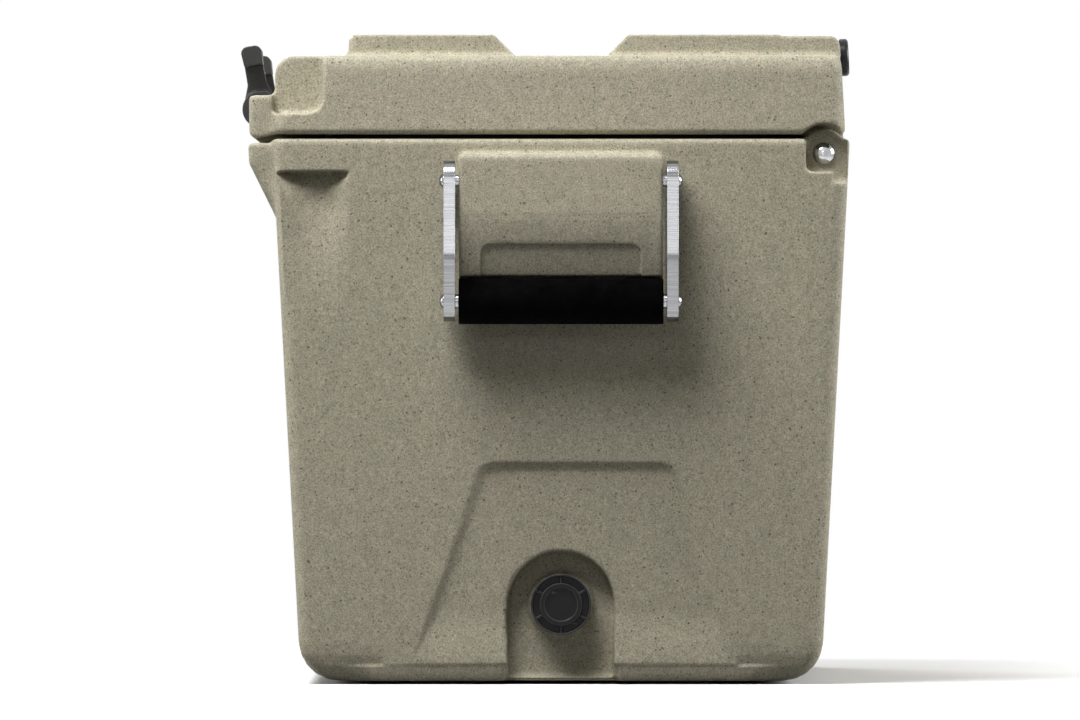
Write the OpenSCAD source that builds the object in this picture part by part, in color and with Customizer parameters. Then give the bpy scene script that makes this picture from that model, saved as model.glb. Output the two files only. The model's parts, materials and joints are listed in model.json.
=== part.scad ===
// Rotomoulded cooler chest: a foam-filled double-walled tub with a hinged lid, two flip-down rubber
// latches, two swinging carry handles and a screw-capped drain.
// X runs along the length, Y from the front (-) to the rear (+) and Z up from the floor.

/* [Tub] */
// Length of the tub at its rim
tub_l = 720; // [640:5:840]
// Width of the tub at its rim, from front wall to rear wall
tub_w = 430; // [400:5:500]
// Height of the rim above the floor
rim_h = 406; // [380:2:460]
// Draft of the outer walls, in degrees
wall_draft = 3; // [2.5:0.25:3.5]
// Plan radius of the upright corners
corner_r = 10; // [8:0.5:16]
// Radius of the long bottom edges
base_r = 28; // [22:1:34]
// Reach of the bottom edge rounding at the two ends
base_end_r = 13; // [9:1:16]
// Radius of the edge round the rim
rim_r = 3; // [2:0.5:4]
// Whole thickness of the insulated walls at the rim
wall_t = 50; // [48:1:56]
// Whole thickness of the insulated floor
floor_t = 46; // [40:1:60]
// Thickness of the moulded skin
skin_t = 4.5; // [3.5:0.25:5]
// Draft of the cavity walls, in degrees
cavity_draft = 2; // [1.5:0.25:3]
// Plan radius of the cavity corners
cavity_r = 30; // [24:1:40]
// Radius where the cavity walls meet its floor
cavity_floor_r = 20; // [14:1:26]
// How far the front lip stands out of the front wall
lip_out = 18; // [15:0.5:20]
// Height of the upright face of the front lip
lip_face_h = 18; // [16:0.5:22]
// Height of the slope under the front lip
lip_slope_h = 42; // [30:1:48]

/* [Lid] */
// Gap between the tub's rim and the underside of the lid
lid_gap = 3.3; // [2.5:0.1:4]
// Height of the lid without its raised pads
lid_h = 58.5; // [54:0.5:66]
// Height of the raised pads on the lid
pad_h = 16; // [10:0.5:20]
// How far the rear rail lies below the tops of the pads
rail_drop = 1; // [0.5:0.5:4]
// How far the ends of the pads stand back from the ends of the lid
pad_back = 22; // [14:1:30]
// Height of the front ledge of the lid
ledge_h = 29; // [27:0.5:33]
// Slope of the rear face of the lid, in degrees
lid_rear_slope = 3; // [2:0.25:5]
// Depth of the plug under the lid that drops into the cavity
plug_h = 17; // [12:0.5:20]
// Gap round the plug at the rim of the cavity
plug_gap = 5; // [4:0.5:7]
// Width of the lid gasket
gasket_w = 8; // [6:0.5:9]
// Depth of the gasket groove in the lid
groove_h = 6; // [4:0.5:8]

/* [Hinge] */
// Distance of the hinge axis from the tub's rear wall
hinge_in = 19.5; // [19:0.25:21]
// Depth of the hinge axis below the rim
hinge_down = 11; // [10:0.5:12]
// Radius of the tub's hinge knuckles
tub_knuckle_r = 18.5; // [17:0.5:19]
// Radius of the lid's hinge knuckles
lid_knuckle_r = 16; // [14:0.5:16.5]
// Radius of the hinge rod
hinge_rod_r = 5; // [4:0.25:6]
// Length of the tub's end knuckles
end_knuckle_l = 75; // [60:1:90]
// Length of the lid's knuckles
lid_knuckle_l = 138; // [100:1:150]
// Depth of the pocket round each end of the hinge rod
rod_pocket = 16; // [12:0.5:20]
// Radius of the domed cap on each end of the hinge rod
rod_cap_r = 8.4; // [7.5:0.1:9]

/* [Latches] */
// Distance between the two latches
latch_pitch = 400; // [320:5:460]
// Radius of the pivot barrel of a latch
latch_barrel_r = 14; // [12:0.25:14.5]
// Length of the pivot barrel of a latch
latch_barrel_l = 44; // [40:1:50]
// Width of the neck of a latch
latch_neck_w = 30; // [24:1:34]
// Thickness of the neck of a latch
latch_neck_t = 14; // [11:0.5:14.5]
// Length of the crossbar of a latch
latch_bar_l = 62; // [56:1:70]
// Thickness of the crossbar of a latch
latch_bar_t = 15.5; // [13:0.5:16]
// Height of the crossbar of a latch
latch_bar_h = 15; // [12:0.5:16]
// How far a latch leans out of the upright, in degrees
latch_lean = 9.5; // [7:0.5:12]
// Radius of the latch pins
latch_pin_r = 2.5; // [2:0.25:3]

/* [Handles] */
// Depth of the handle pivots below the rim
pivot_down = 31.5; // [29:0.5:34]
// Distance of the handle pivots from the end wall
pivot_out = 17.5; // [16.5:0.25:20]
// Drop from the handle pivots to the grip
grip_down = 89.5; // [87:0.5:96]
// Half width of the side arms
arm_r = 15; // [12:0.5:15.5]
// Thickness of the side arms
arm_t = 8.5; // [6:0.5:10]
// How far the bend of an arm stands further out than its pivot
arm_bend_out = 10; // [6:0.5:14]
// Length of the grip
grip_l = 152; // [130:1:170]
// Radius of the grip sleeve
grip_r = 17; // [14:0.5:17]
// Radius of the rod inside the grip
grip_core_r = 9; // [7:0.5:11]
// Length of the spacers between the grip and the arms
grip_spacer = 2.6; // [1.5:0.1:4]
// Gap between an arm and the moulded handle block
arm_gap = 3; // [2:0.25:4]
// Radius of the handle screws
screw_r = 3; // [2.5:0.25:3.5]

/* [Drain] */
// Radius of the drain passage
drain_bore_r = 9; // [7:0.5:10]
// Radius of the drain cap
drain_cap_r = 22.7; // [21:0.1:25]
// Radius of the arched recess round the drain
arch_r = 39.5; // [34:0.5:44]
// Depth of the arched recess at the drain
arch_d = 16; // [14:0.5:18]
// Radius of the drain's neck
drain_neck_r = 14; // [12.5:0.25:15]

/* [Details] */
// How far the feet stand out of the base
foot_proud = 2.5; // [2:0.25:4]
// Radius of the feet
foot_r = 20; // [16:1:24]
// Depth of the plain recessed panels on the ends
panel_d = 4; // [2:0.25:5]
// Radius of the rear bumpers
bumper_r = 14; // [10:0.5:14.5]
// How far the rear bumpers stand out of the lid
bumper_out = 7; // [4:0.2:8]
// Distance between the rear bumpers
bumper_pitch = 540; // [300:10:560]

/* [Hidden] */
$fn = 64;

// Clearances: a running fit on a pin, a press fit round a trapped piece and the gap round the foam
run_gap = 0.05;
seat_gap = 0.1;
foam_gap = 0.3;
// Overshoot of a cut past the face that it opens
past = 1;
// Arc steps in a quarter turn of a lofted corner
corner_steps = 6;

// Heights
base_z = foot_proud;
cavity_z = base_z + floor_t;
lid_z = rim_h + lid_gap;
lid_top = lid_z + lid_h;
pad_top = lid_top + pad_h;
ledge_top = lid_z + ledge_h;
hinge_z = rim_h - hinge_down;
lip_low_z = rim_h - lip_face_h;
lip_root_z = lip_low_z - lip_slope_h;
lip_top = rim_h - 3;
foam_top = rim_h - 40;

// Wall positions
half_l = tub_l / 2;
half_w = tub_w / 2;
hinge_y = half_w - hinge_in;
lid_front = half_w - 2;
lid_rear = hinge_y + lid_knuckle_r;
ledge_front = half_w + lip_out - 1;
// How far the ends of the tub's lip and of the lid's ledge stand back, and their corner radius
lip_end_in = 10;
lip_corner_r = 5;
function wall_in(z) = (rim_h - z) * tan(wall_draft);
function end_x(z) = half_l - wall_in(z);
function cavity_in(z) = wall_t + (rim_h - z) * tan(cavity_draft);
function lid_rear_y(z) = lid_rear - (z - lid_z) * tan(lid_rear_slope);

// Handles
pivot_z = rim_h - pivot_down;
pivot_x = end_x(pivot_z) + pivot_out;
grip_z = pivot_z - grip_down;
grip_x = pivot_x + 2;
bend = [pivot_x + arm_bend_out, pivot_z - 0.63 * grip_down];
arm_in = grip_l / 2 + grip_spacer;
arm_steps = 24;
block_w = 2 * (arm_in - arm_gap);
block_face = pivot_x + 12;
block_top = pivot_z + 20.5;
block_face_low = pivot_z - 27;
block_low = grip_z - 13;
block_r = 6;
block_edge_r = 5;
// The block's underside follows the grip round, from its front quarter to its back
hug_r = grip_r + 1.7;
hug_from = 113;
hug_steps = 8;
hug_start = [grip_x + hug_r * cos(hug_from), grip_z + hug_r * sin(hug_from)];
function block_x(z) =
    block_face - (block_face_low - z) * (block_face - hug_start[0]) / (block_face_low - hug_start[1]);
insert_r = 5;
insert_l = 14;
bush_r = 4.5;
head_r = 5.5;
head_h = 3.4;
socket_r = 0.42 * head_r;
socket_d = 0.6 * head_h;

// Finger pocket behind the grip, cut into the handle block and the wall
pocket_w = block_w - 32;
pocket_top = pivot_z - 47;
pocket_low = grip_z - 13;
pocket_in = panel_d;
pocket_d = 8;
pocket_bend_z = grip_z + grip_r + 2;
pocket_r = 8;

// Plain panel on each end, its foot and top heights and its reach to the front and the rear there
panel_low = 14;
panel_high = 166;
panel_front_low = 112.6;
panel_front_high = 60;
panel_rear_low = 128;
panel_rear_high = 85;
panel_r = 14;
panel_bevel = 1.2;

// Latches: the pivot barrel lies in the lid's front ledge
latch_y = -(ledge_front - latch_barrel_r + 7.4);
latch_z = lid_z + 20.7;
bar_below_lip = 6;
bar_top = latch_z - lip_low_z + bar_below_lip;
bar_low = bar_top - latch_bar_h;
bar_edge_r = 5;
// How far the neck widens on each side where it meets the barrel
latch_flare = 2.2;
notch_gap = 0.7;
keeper_gap = 1.5;
keeper_floor = latch_z - bar_top - 1.2;
// Highest line that the inner face of the crossbar crosses at the lip's front edge as it swings in
lip_front_gap = half_w + lip_out + latch_y;
keeper_ceiling = latch_z - sqrt(bar_low * bar_low - lip_front_gap * lip_front_gap) + 0.8;

// Drain
nut_r = 19;
nut_h = 8;
drain_z = cavity_z + drain_bore_r + 2;
arch_x = end_x(drain_z) - arch_d;
arch_low = base_z + 3;
sump_r = nut_r + 2.5;
sump_l = nut_h + 6;
nut_seat_x = half_l - cavity_in(drain_z) + 2;
flange_r = 20;
flange_t = 3;
drain_gasket_t = 2;
drain_tube_r = drain_bore_r + 4;
flange_x = arch_x + drain_gasket_t;
neck_x = flange_x + flange_t;
neck_l = 8;
seal_t = 1.5;
cap_back = 0.4;
cap_face_t = 3.5;
cap_x = neck_x + neck_l + seal_t;
drain_boss_r = drain_tube_r + 8;

// Feet
foot_seat = 3.5;
foot_x = end_x(base_z) - 70;
foot_y = half_w - wall_in(base_z) - 62;
foot_boss_h = 15;
foot_boss_r = 8;
foot_screw_r = 2.5;
foot_screw_l = 12;
foot_head_h = 1.5;

// Foam filling ports
port_r = 12;
port_lip_r = 16;
port_lip_t = 2;

// Padlock recesses at the two front corners
lock_floor = lid_z + 15.7;
lock_y0 = -lid_front - past;
lock_y1 = -lid_front + 36.2;
lock_d = 28;
lock_r = 11;
scoop_top = rim_h - 24;
scoop_y = -half_w + 30;
scoop_r = 29;
scoop_d = 24;
scoop_h = 67;

// Hinge layout along the length
tub_knuckle_x1 = half_l - rod_pocket;
tub_knuckle_x0 = tub_knuckle_x1 - end_knuckle_l;
hinge_gap = 1;
lid_knuckle_x1 = tub_knuckle_x0 - hinge_gap;
lid_knuckle_x0 = lid_knuckle_x1 - lid_knuckle_l;
notch_x0 = lid_knuckle_x0 - hinge_gap;
lid_cut_r = tub_knuckle_r + 3.5;
notch_r = lid_knuckle_r + 1.5;
notch_drop = lid_knuckle_r + 5;
// The lid's rear skirt at the two ends, and the room below the hinge axis that it swings into
skirt_w = 5.5;
skirt_drop = 21;

// Lid gasket, midway between the cavity's edge and the hinge notch
gasket_in = wall_t - (wall_t - hinge_in - notch_r) / 2;

// The origin lies under the middle of the whole outline, so the tub's own middle is shifted off it
latch_reach = -latch_y + (bar_top - bar_edge_r) * sin(latch_lean)
    + (latch_bar_t / 2 - bar_edge_r) * cos(latch_lean) + bar_edge_r;
bumper_edge = 1.5;
bumper_z = lid_top;
bumper_reach = lid_rear_y(bumper_z) + bumper_out * cos(lid_rear_slope)
    + (bumper_r - bumper_edge) * sin(lid_rear_slope);
tub_reach = half_w - rim_r * tan(wall_draft);
mid_y = (latch_reach - max(bumper_reach, tub_reach)) / 2;

// Basic forms

// Points of a rounded rectangle from -x to x and y0 to y1
function round_outline(x, y0, y1, r) = [
    for (c = [0:3], i = [0:corner_steps])
        let (
            a = 90 * (c + i / corner_steps),
            cx = c == 0 || c == 3 ? x - r : r - x,
            cy = c < 2 ? y1 - r : y0 + r
        ) [cx + r * cos(a), cy + r * sin(a)]
];

// Solid through a stack of rings with the same count of points
module skin_over(rings) {
    n = len(rings[0]);
    last = (len(rings) - 1) * n;
    sides = [
        for (k = [0:len(rings) - 2], i = [0:n - 1])
            let (j = (i + 1) % n) [k * n + i, (k + 1) * n + i, (k + 1) * n + j, k * n + j]
    ];
    floor_face = [for (i = [0:n - 1]) i];
    roof_face = [for (i = [n - 1:-1:0]) last + i];
    polyhedron(points = [for (ring = rings) each ring], faces = concat([floor_face, roof_face], sides));
}

// Solid through a stack of rounded rectangles, each [z, x, y0, y1, r]
module loft(sections) {
    skin_over([for (s = sections) [for (p = round_outline(s[1], s[2], s[3], s[4])) [p[0], p[1], s[0]]]]);
}

// Points of an arc
function arc(c, r, from, to, steps) =
    [for (i = [0:steps]) let (a = from + (to - from) * i / steps) c + r * [cos(a), sin(a)]];

// A flat outline in Y and Z drawn out along X
module along_x(x0, x1) {
    translate([x0, 0, 0]) rotate([90, 0, 90]) linear_extrude(x1 - x0) children();
}

// A flat outline in X and Z drawn out along Y
module along_y(y0, y1) {
    translate([0, y1, 0]) rotate([90, 0, 0]) linear_extrude(y1 - y0) children();
}

module rod_x(r, x0, x1, y, z) {
    translate([x0, y, z]) rotate([0, 90, 0]) cylinder(r = r, h = x1 - x0);
}

module rod_y(r, y0, y1, x, z) {
    translate([x, y0, z]) rotate([-90, 0, 0]) cylinder(r = r, h = y1 - y0);
}

module box(x0, x1, y0, y1, z0, z1) {
    translate([x0, y0, z0]) cube([x1 - x0, y1 - y0, z1 - z0]);
}

module round_rect(x0, x1, y0, y1, r) {
    translate([x0 + r, y0]) square([x1 - x0 - 2 * r, y1 - y0]);
    translate([x0, y0 + r]) square([x1 - x0, y1 - y0 - 2 * r]);
    for (x = [x0 + r, x1 - r], y = [y0 + r, y1 - r]) translate([x, y]) circle(r);
}

module both_ends() {
    children();
    mirror([1, 0, 0]) children();
}

module both_sides() {
    children();
    mirror([0, 1, 0]) children();
}

module at_latches() {
    for (x = [-latch_pitch / 2, latch_pitch / 2]) translate([x, 0, 0]) children();
}

// Moves a piece from the tub's own middle to the origin
module placed() {
    translate([0, mid_y, 0]) children();
}

// Tub

// Outline of the tub at a height, drawn in by dx at the ends and dy at front and rear
function tub_section(z, dx, dy, r) =
    [z, end_x(z) - dx, wall_in(z) + dy - half_w, half_w - wall_in(z) - dy, r];

function tub_sections() = [
    for (a = [0:18:90])
        let (c = 1 - sin(a))
            tub_section(base_z + base_r * (1 - cos(a)), base_end_r * c, base_r * c, corner_r),
    for (a = [0:30:90])
        let (c = rim_r * (1 - cos(a))) tub_section(rim_h - rim_r * (1 - sin(a)), c, c, corner_r)
];

// Lip along the front of the rim that the latches catch under, running out down the front wall
module front_lip() {
    function section(z, out) =
        [z, end_x(z) - lip_end_in, wall_in(z) - half_w - out, wall_t / 2 - half_w, lip_corner_r];
    loft([
        section(lip_root_z, -0.5),
        section(lip_low_z, lip_out),
        for (a = [0:30:90]) section(lip_top - rim_r * (1 - sin(a)), lip_out - rim_r * (1 - cos(a)))
    ]);
}

// The storage cavity, grown by a thickness, up to a height
module cavity(grow, top) {
    function section(z, inset) = [
        z, half_l - cavity_in(z) - inset + grow, cavity_in(z) + inset - grow - half_w,
        half_w - cavity_in(z) - inset + grow, cavity_r + grow
    ];
    loft([
        for (a = [0:22.5:90])
            section(cavity_z - grow + cavity_floor_r * (1 - cos(a)), cavity_floor_r * (1 - sin(a))),
        section(top, 0)
    ]);
}

// Space between the skins, drawn in by a gap all round
module foam_space(gap) {
    wall = skin_t + gap;
    end_wall = wall + panel_d;
    low = base_z + foot_seat + wall;
    r = base_r - skin_t;
    difference() {
        loft([
            for (a = [0:22.5:90])
                tub_section(low + r * (1 - cos(a)), end_wall + base_end_r * (1 - sin(a)),
                    wall + r * (1 - sin(a)), corner_r - skin_t),
            tub_section(foam_top - gap, end_wall, wall, corner_r - skin_t)
        ]);
        cavity(wall, rim_h);
        both_ends() lock_scoop(wall);
        drain_arch(wall);
        rod_x(drain_boss_r + gap, half_l - wall_t - wall_in(0), half_l, 0, drain_z);
        rod_x(sump_r + wall, nut_seat_x - sump_l, nut_seat_x + wall, 0, drain_z);
        at_feet() cylinder(r = foot_boss_r + gap, h = base_z + foot_seat + foot_boss_h + gap);
    }
}

// Hollow under the padlock flange, a cone that runs out to a point down the end wall
module lock_scoop(grow) {
    low_z = scoop_top - scoop_h;
    low_x = end_x(low_z);
    lean = atan((end_x(scoop_top) - scoop_d + scoop_r - low_x) / scoop_h);
    over = 1.4;
    intersection() {
        translate([low_x, scoop_y, low_z]) rotate([0, lean, 0])
            cylinder(r1 = 0.5 + grow, r2 = over * scoop_r + grow, h = over * scoop_h / cos(lean));
        box(half_l - 2 * wall_t, half_l + wall_t, -half_w - lip_out, 0, base_z, scoop_top + grow);
    }
}

// Arched recess round the drain
module drain_arch(grow) {
    rod_x(arch_r + grow, arch_x - grow, half_l + past, 0, drain_z);
    box(arch_x - grow, half_l + past, -arch_r - grow, arch_r + grow, arch_low - grow, drain_z);
}

// Plain panel sunk into the lower end wall, with bevelled sides and a floor parallel to the drafted wall
module end_panel() {
    // Right-hand points of an outline with a round upper corner
    function side_of(low_w, high_w) =
        let (
            side = atan((panel_high - panel_low) / (low_w - high_w)),
            corner = [high_w - panel_r * tan(side / 2), panel_high - panel_r]
        ) concat([[low_w, panel_low]], arc(corner, panel_r, 90 - side, 90, corner_steps));
    front = side_of(panel_front_low, panel_front_high);
    outline = concat(
        side_of(panel_rear_low, panel_rear_high),
        [for (i = [len(front) - 1:-1:0]) [-front[i][0], front[i][1]]]
    );
    middle = (panel_low + panel_high) / 2;
    function ring(x, grow) = [
        for (p = outline) [x, p[0] + grow * sign(p[0]), p[1] + grow * sign(p[1] - middle)]
    ];
    translate([end_x(0) - panel_d, 0, 0]) rotate([0, wall_draft, 0])
        skin_over([ring(0, -panel_d * panel_bevel), ring(2 * panel_d, panel_d * panel_bevel)]);
}

// Raised block between the handle arms that carries their pivots. Its underside slopes back to the grip
// and then follows the grip round to the wall
module handle_block() {
    x0 = end_x(block_low) - panel_d;
    intersection() {
        along_x(x0, block_face) round_rect(-block_w / 2, block_w / 2, block_low, block_top, block_r);
        along_y(-block_w / 2, block_w / 2) polygon(concat(
            [[x0, block_low], [x0, block_top]],
            arc([block_face - block_edge_r, block_top - block_edge_r], block_edge_r, 90, 0, corner_steps),
            [[block_face, block_face_low]],
            arc([grip_x, grip_z], hug_r, hug_from, 180, hug_steps),
            [[end_x(block_low), block_low]]
        ));
    }
}

// Pocket for the fingers, its floor running down behind the grip along the block's sloping underside
module finger_pocket() {
    deep = end_x(pocket_low) - pocket_in;
    open = block_face + past;
    intersection() {
        along_x(deep - past, open)
            round_rect(-pocket_w / 2, pocket_w / 2, pocket_low, pocket_top, pocket_r);
        along_y(-pocket_w, pocket_w) polygon([
            [open, pocket_top + past], [block_x(pocket_top + past) - pocket_d, pocket_top + past],
            [block_x(pocket_bend_z) - pocket_d, pocket_bend_z], [deep, pocket_bend_z - pocket_d],
            [deep, pocket_low - past], [open, pocket_low - past]
        ]);
    }
}

// Room in the tub's rear edge for a lid knuckle, over the whole swing of the lid
module hinge_notch() {
    deep = half_w + past;
    rod_x(notch_r, notch_x0, tub_knuckle_x0, hinge_y, hinge_z);
    box(notch_x0, tub_knuckle_x0, hinge_y - notch_r, deep, hinge_z, lid_z);
    box(notch_x0, tub_knuckle_x0, hinge_y, deep, hinge_z - notch_drop, hinge_z);
}

// Pocket in the end wall that shows the end of the hinge rod
module rod_end_pocket() {
    reach = rod_cap_r + 5.2;
    along_x(tub_knuckle_x1, half_l + past)
        round_rect(hinge_y - reach, half_w + 20, hinge_z - reach, lid_z + 20, 5.5);
    box(tub_knuckle_x1, half_l + past, hinge_y + reach / 2, half_w + past, hinge_z - skirt_drop, hinge_z);
}

// Slot in the front lip that the crossbar of a latch swings under
module latch_keeper() {
    bar = latch_bar_l / 2 + keeper_gap;
    neck = latch_neck_w / 2 + keeper_gap;
    front = -half_w - lip_out - past;
    box(-bar, bar, front, latch_y + latch_bar_t / 2 + keeper_gap, keeper_floor, keeper_ceiling);
    box(-neck, neck, front, latch_y + latch_neck_t / 2 + keeper_gap, keeper_floor, rim_h + past);
}

module at_feet() {
    both_ends() both_sides() translate([foot_x, foot_y, 0]) children();
}

// Filling port through a skin, with a shallow seat for the rim of its plug
module fill_port(seat_z, depth) {
    translate([0, 0, seat_z - past]) cylinder(r = port_lip_r + seat_gap, h = port_lip_t + past);
    translate([0, 0, seat_z - past]) cylinder(r = port_r, h = depth + past);
}

module tub_shell() {
    placed() color("#a39a80") difference() {
        union() {
            loft(tub_sections());
            front_lip();
            both_ends() handle_block();
            both_ends() rod_x(tub_knuckle_r, tub_knuckle_x0, tub_knuckle_x1, hinge_y, hinge_z);
            rod_x(tub_knuckle_r, -notch_x0, notch_x0, hinge_y, hinge_z);
        }
        cavity(0, rim_h + past);
        foam_space(0);
        both_ends() lock_scoop(0);
        both_ends() end_panel();
        both_ends() finger_pocket();
        both_ends() hinge_notch();
        both_ends() rod_end_pocket();
        at_latches() latch_keeper();
        drain_arch(0);
        rod_x(drain_tube_r + seat_gap, nut_seat_x - sump_l, half_l, 0, drain_z);
        rod_x(sump_r, nut_seat_x - sump_l, nut_seat_x, 0, drain_z);
        rod_x(hinge_rod_r + run_gap, -half_l, half_l, hinge_y, hinge_z);
        both_ends() both_sides()
            rod_y(insert_r + run_gap, block_w / 2 - insert_l, block_w / 2 + past, pivot_x, pivot_z);
        at_feet() {
            translate([0, 0, base_z - past]) cylinder(r = foot_r + seat_gap, h = foot_seat + past);
            cylinder(r = foot_screw_r + run_gap, h = base_z + foot_seat + foot_screw_l);
        }
        fill_port(base_z, foot_seat + skin_t + past);
    }
}

module tub_foam() {
    placed() color("#e6d9a8") foam_space(foam_gap);
}

module tub_fill_plug() {
    placed() color("#2b2b2b") translate([0, 0, base_z]) {
        cylinder(r = port_lip_r, h = port_lip_t);
        cylinder(r = port_r - seat_gap, h = foot_seat + skin_t - seat_gap);
    }
}

// Feet with a countersunk screw each
module rubber_feet() {
    placed() color("#1c1c1c") at_feet() difference() {
        cylinder(r = foot_r, h = base_z + foot_seat);
        translate([0, 0, -past]) cylinder(r = foot_screw_r + run_gap, h = base_z + foot_seat + 2 * past);
        translate([0, 0, -past]) cylinder(r = 2 * foot_screw_r + seat_gap, h = base_z + past);
    }
}

module foot_screws() {
    placed() color("silver") at_feet() difference() {
        union() {
            translate([0, 0, base_z - foot_head_h]) cylinder(r = 2 * foot_screw_r, h = foot_head_h);
            translate([0, 0, base_z - foot_head_h])
                cylinder(r = foot_screw_r, h = foot_seat + foot_screw_l);
        }
        translate([0, 0, base_z - foot_head_h - past])
            cylinder(r = 0.6 * foot_screw_r, h = foot_head_h, $fn = 6);
    }
}

// Drain

module drain_fitting() {
    placed() color("#222222") difference() {
        union() {
            rod_x(drain_tube_r, nut_seat_x - nut_h - 2, flange_x + past, 0, drain_z);
            rod_x(flange_r, flange_x, neck_x, 0, drain_z);
            rod_x(drain_neck_r, flange_x, neck_x + neck_l, 0, drain_z);
        }
        rod_x(drain_bore_r, nut_seat_x - nut_h - 3, neck_x + neck_l + past, 0, drain_z);
    }
}

module drain_gasket() {
    placed() color("#151515") difference() {
        rod_x(flange_r - 1, arch_x, flange_x, 0, drain_z);
        rod_x(drain_tube_r + seat_gap, arch_x - past, flange_x + past, 0, drain_z);
    }
}

module drain_nut() {
    placed() color("#222222") difference() {
        translate([nut_seat_x - nut_h, 0, drain_z]) rotate([0, 90, 0])
            cylinder(r = nut_r, h = nut_h, $fn = 6);
        rod_x(drain_tube_r + run_gap, nut_seat_x - nut_h - past, nut_seat_x + past, 0, drain_z);
    }
}

module drain_seal() {
    placed() color("#151515") difference() {
        rod_x(drain_neck_r - 0.2, neck_x + neck_l, cap_x, 0, drain_z);
        rod_x(drain_bore_r - 1, neck_x + neck_l - past, cap_x + past, 0, drain_z);
    }
}

// Screw cap with a sunk grip ring that six ribs cross, and a dished middle
module drain_cap() {
    face = cap_x + cap_face_t;
    ring_out = drain_cap_r - 1.4;
    ring_in = drain_cap_r * 0.7;
    dish_r = drain_cap_r * 0.54;
    placed() color("#262626") {
        difference() {
            rod_x(drain_cap_r, neck_x + cap_back, face, 0, drain_z);
            rod_x(drain_neck_r + run_gap, neck_x, cap_x, 0, drain_z);
            difference() {
                rod_x(ring_out, face - 2.6, face + past, 0, drain_z);
                rod_x(ring_in, face - 3, face + 2 * past, 0, drain_z);
                for (a = [0:60:300]) translate([face - 3, 0, drain_z]) rotate([a, 0, 0])
                    translate([0, -0.9, ring_in - 2]) cube([2.4, 1.8, drain_cap_r]);
            }
            rod_x(dish_r, face - 1.4, face + past, 0, drain_z);
        }
    }
}

// Hinge

module hinge_rod() {
    placed() color("silver") rod_x(hinge_rod_r, -tub_knuckle_x1 - 3, tub_knuckle_x1 + 3, hinge_y, hinge_z);
}

// Domed caps pressed on the ends of the hinge rod
module hinge_caps() {
    h = 6.3;
    skirt = 1.4;
    ball_r = (rod_cap_r * rod_cap_r + (h - skirt) * (h - skirt)) / (2 * (h - skirt));
    placed() color("silver") both_ends() translate([tub_knuckle_x1, hinge_y, hinge_z]) rotate([0, 90, 0])
        difference() {
            union() {
                cylinder(r = rod_cap_r, h = skirt);
                intersection() {
                    translate([0, 0, h - ball_r]) sphere(r = ball_r);
                    translate([0, 0, skirt]) cylinder(r = rod_cap_r, h = h);
                }
            }
            translate([0, 0, -past]) cylinder(r = hinge_rod_r + run_gap, h = 3 + past + seat_gap);
        }
}

// Lid

// Outline of the lid at a height, drawn in at the ends, the front and the rear
function lid_section(z, end, front, rear) =
    [z, half_l - end, front - lid_front, lid_rear_y(z) - rear, corner_r];

// The lid's main slab, rounder along its front top edge than at its ends
module lid_slab() {
    edge_h = 14;
    end_in = 5;
    rear_in = 2;
    loft([
        for (a = [0:45:90])
            let (r = rim_r * (1 - sin(a))) lid_section(lid_z + rim_r * (1 - cos(a)), r, r, r),
        for (a = [0:15:90])
            let (c = 1 - cos(a))
                lid_section(lid_top - edge_h * (1 - sin(a)), end_in * c, edge_h * c, rear_in * c)
    ]);
}

// The ledge along the lid's front that carries the latches, running up into the front wall
module lid_ledge() {
    low_r = 9;
    top_r = 3;
    root_r = 5;
    deep = ledge_front - lid_front;
    function section(z, inset) = [z, half_l - lip_end_in, inset - ledge_front, 0, lip_corner_r];
    loft([
        for (a = [0:22.5:90]) section(lid_z + low_r * (1 - cos(a)), low_r * (1 - sin(a))),
        for (a = [0:30:90]) section(ledge_top - top_r * (1 - sin(a)), top_r * (1 - cos(a))),
        for (a = [15:25:90]) section(ledge_top + root_r * (1 - cos(a)), deep - root_r * (1 - sin(a)))
    ]);
}

// Raised pads with a channel between them, and the lower rail along the rear edge
module lid_pads() {
    pad_x = half_l - pad_back;
    pad_r = 14;
    front_y = -lid_front + 55;
    channel = 34;
    rail_w = 44;
    rail_top = pad_top - rail_drop;
    rear_y = lid_rear_y(rail_top);
    foot = lid_top - 10;
    edge = 4;
    rear_r = 7;
    intersection() {
        along_x(-pad_x, pad_x) {
            polygon([
                [front_y - edge, foot], [front_y - edge, lid_top], [front_y, lid_top + edge],
                [front_y, pad_top - edge], [front_y + edge, pad_top],
                [-channel - pad_h, pad_top], [-channel, lid_top], [-channel, foot]
            ]);
            polygon(concat(
                [[channel, foot], [channel, lid_top], [channel + pad_h, pad_top]],
                [[rear_y - rail_w - rail_drop, pad_top], [rear_y - rail_w, rail_top]],
                arc([rear_y - rear_r, rail_top - rear_r], rear_r, 90, 0, corner_steps),
                [[lid_rear_y(lid_top), lid_top], [lid_rear_y(foot) - edge, foot]]
            ));
        }
        translate([0, 0, foot - past]) linear_extrude(pad_top) {
            round_rect(-pad_x, pad_x, front_y - edge, -channel / 2, pad_r);
            round_rect(-pad_x, pad_x, channel / 2, lid_rear + past, pad_r);
        }
    }
}

module lid_plug() {
    x = half_l - wall_t - plug_gap;
    y = half_w - wall_t - plug_gap;
    r = cavity_r - plug_gap;
    edge = 4;
    loft([
        [lid_z - plug_h, x - edge, edge - y, y - edge, r],
        [lid_z - plug_h + edge, x - 1, 1 - y, y - 1, r],
        [lid_z + rim_r, x, -y, y, r]
    ]);
}

module lid_knuckles() {
    both_ends() {
        rod_x(lid_knuckle_r, lid_knuckle_x0, lid_knuckle_x1, hinge_y, hinge_z);
        box(lid_knuckle_x0, lid_knuckle_x1, hinge_y - lid_knuckle_r, lid_rear, hinge_z, lid_z + rim_r);
    }
}

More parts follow.
